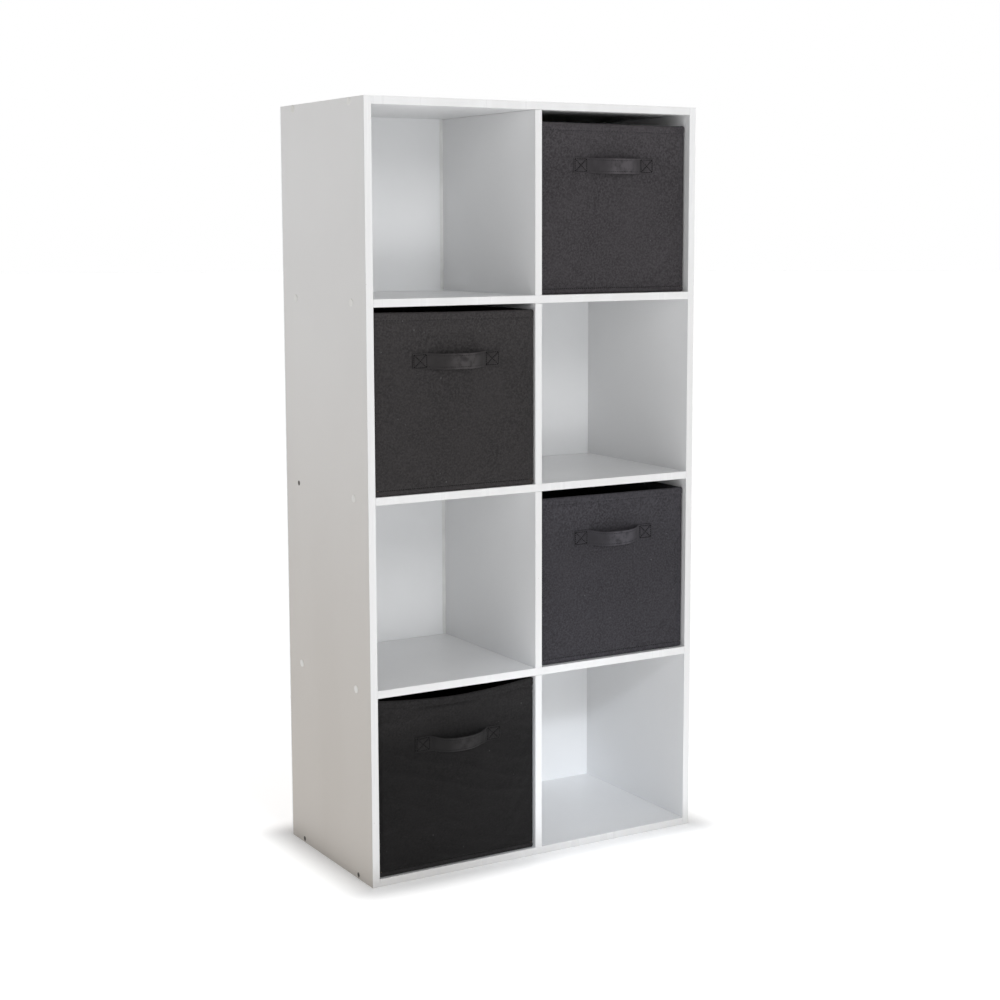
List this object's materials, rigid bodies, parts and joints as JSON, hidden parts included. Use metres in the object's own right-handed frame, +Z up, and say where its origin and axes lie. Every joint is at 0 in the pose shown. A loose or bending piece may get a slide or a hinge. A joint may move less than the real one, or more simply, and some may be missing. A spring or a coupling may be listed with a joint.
{
  "type": "cube storage unit",
  "caption": "Open-fronted cube shelving in white board with pull-out black fabric boxes, each with a swinging strap handle and a lift-out base insert.",
  "frame": {"origin": "on the floor, at the middle of the carcass footprint, on the underside of the bottom panel", "axes": "+Z up, +X to the right seen from the front, and the open front faces -Y"},
  "size_m": [0.6014, 0.317, 1.2],
  "materials": {
    "melamine_board": "satin melamine foil, faint orange peel",
    "edge_band": "satin",
    "hardboard_back": "painted hardboard, satin",
    "joining_strip": "satin",
    "screw_cap": "satin",
    "screw_steel": "dark phosphated",
    "nail_steel": "bright",
    "dowel_beech": "raw beech",
    "box_fabric": "embossed non-woven, matt",
    "box_lining": "non-woven, matt",
    "box_base_fabric": "non-woven, matt",
    "wall_cardboard": "grey-brown board",
    "insert_board": "board wrapped in black non-woven",
    "handle_webbing": "folded and stitched non-woven strap"
  },
  "bodies": {
    "carcass": {"side_panel_left": "melamine_board", "side_panel_right": "melamine_board", "top_panel": "melamine_board", "bottom_panel": "melamine_board", "shelf_upper": "melamine_board", "shelf_middle": "melamine_board", "shelf_lower": "melamine_board", "divider_top": "melamine_board", "divider_upper": "melamine_board", "divider_lower": "melamine_board", "divider_bottom": "melamine_board", "back_panel_left": "hardboard_back", "back_panel_right": "hardboard_back", "back_joining_strip": "joining_strip", "side_edge_bands": "edge_band", "horizontal_edge_bands": "edge_band", "divider_edge_bands": "edge_band", "side_screws_left": "screw_steel", "side_screws_right": "screw_steel", "screw_caps_left": "screw_cap", "screw_caps_right": "screw_cap", "side_dowels_left": "dowel_beech", "side_dowels_right": "dowel_beech", "divider_dowels": "dowel_beech", "back_panel_nails": "nail_steel"},
    "box_1": {"box_1_outer_cover": "box_fabric", "box_1_wall_boards": "wall_cardboard", "box_1_lining": "box_lining", "box_1_rim_hem": "box_fabric", "box_1_bottom_panel": "box_base_fabric", "box_1_handle_patches": "handle_webbing"},
    "box_1_base_insert": {"box_1_base_board": "insert_board"},
    "box_1_strap_loop": {"box_1_handle_strap": "handle_webbing"},
    "box_2": {"box_2_outer_cover": "box_fabric", "box_2_wall_boards": "wall_cardboard", "box_2_lining": "box_lining", "box_2_rim_hem": "box_fabric", "box_2_bottom_panel": "box_base_fabric", "box_2_handle_patches": "handle_webbing"},
    "box_2_base_insert": {"box_2_base_board": "insert_board"},
    "box_2_strap_loop": {"box_2_handle_strap": "handle_webbing"},
    "box_3": {"box_3_outer_cover": "box_fabric", "box_3_wall_boards": "wall_cardboard", "box_3_lining": "box_lining", "box_3_rim_hem": "box_fabric", "box_3_bottom_panel": "box_base_fabric", "box_3_handle_patches": "handle_webbing"},
    "box_3_base_insert": {"box_3_base_board": "insert_board"},
    "box_3_strap_loop": {"box_3_handle_strap": "handle_webbing"},
    "box_4": {"box_4_outer_cover": "box_fabric", "box_4_wall_boards": "wall_cardboard", "box_4_lining": "box_lining", "box_4_rim_hem": "box_fabric", "box_4_bottom_panel": "box_base_fabric", "box_4_handle_patches": "handle_webbing"},
    "box_4_base_insert": {"box_4_base_board": "insert_board"},
    "box_4_strap_loop": {"box_4_handle_strap": "handle_webbing"}
  },
  "joints": [
    {"name": "box_1_slide", "type": "slide", "parent": "carcass", "child": "box_1", "axis": [0, -1, 0], "range_m": [0, 0.3]},
    {"name": "box_1_strap_swing", "type": "hinge", "parent": "box_1", "child": "box_1_strap_loop", "pos_m": [0.147, -0.14, 1.1053], "axis": [1, 0, 0], "range_deg": [-30, 30]},
    {"name": "box_1_insert_lift", "type": "slide", "parent": "box_1", "child": "box_1_base_insert", "axis": [0, 0, 1], "range_m": [0, 0.24]},
    {"name": "box_2_slide", "type": "slide", "parent": "carcass", "child": "box_2", "axis": [0, -1, 0], "range_m": [0, 0.3]},
    {"name": "box_2_strap_swing", "type": "hinge", "parent": "box_2", "child": "box_2_strap_loop", "pos_m": [-0.147, -0.149, 0.8083], "axis": [1, 0, 0], "range_deg": [-30, 30]},
    {"name": "box_2_insert_lift", "type": "slide", "parent": "box_2", "child": "box_2_base_insert", "axis": [0, 0, 1], "range_m": [0, 0.24]},
    {"name": "box_3_slide", "type": "slide", "parent": "carcass", "child": "box_3", "axis": [0, -1, 0], "range_m": [0, 0.3]},
    {"name": "box_3_strap_swing", "type": "hinge", "parent": "box_3", "child": "box_3_strap_loop", "pos_m": [0.147, -0.144, 0.5113], "axis": [1, 0, 0], "range_deg": [-38, 22]},
    {"name": "box_3_insert_lift", "type": "slide", "parent": "box_3", "child": "box_3_base_insert", "axis": [0, 0, 1], "range_m": [0, 0.24]},
    {"name": "box_4_slide", "type": "slide", "parent": "carcass", "child": "box_4", "axis": [0, -1, 0], "range_m": [0, 0.3]},
    {"name": "box_4_strap_swing", "type": "hinge", "parent": "box_4", "child": "box_4_strap_loop", "pos_m": [-0.147, -0.147, 0.2143], "axis": [1, 0, 0], "range_deg": [-44, 16]},
    {"name": "box_4_insert_lift", "type": "slide", "parent": "box_4", "child": "box_4_base_insert", "axis": [0, 0, 1], "range_m": [0, 0.24]}
  ]
}
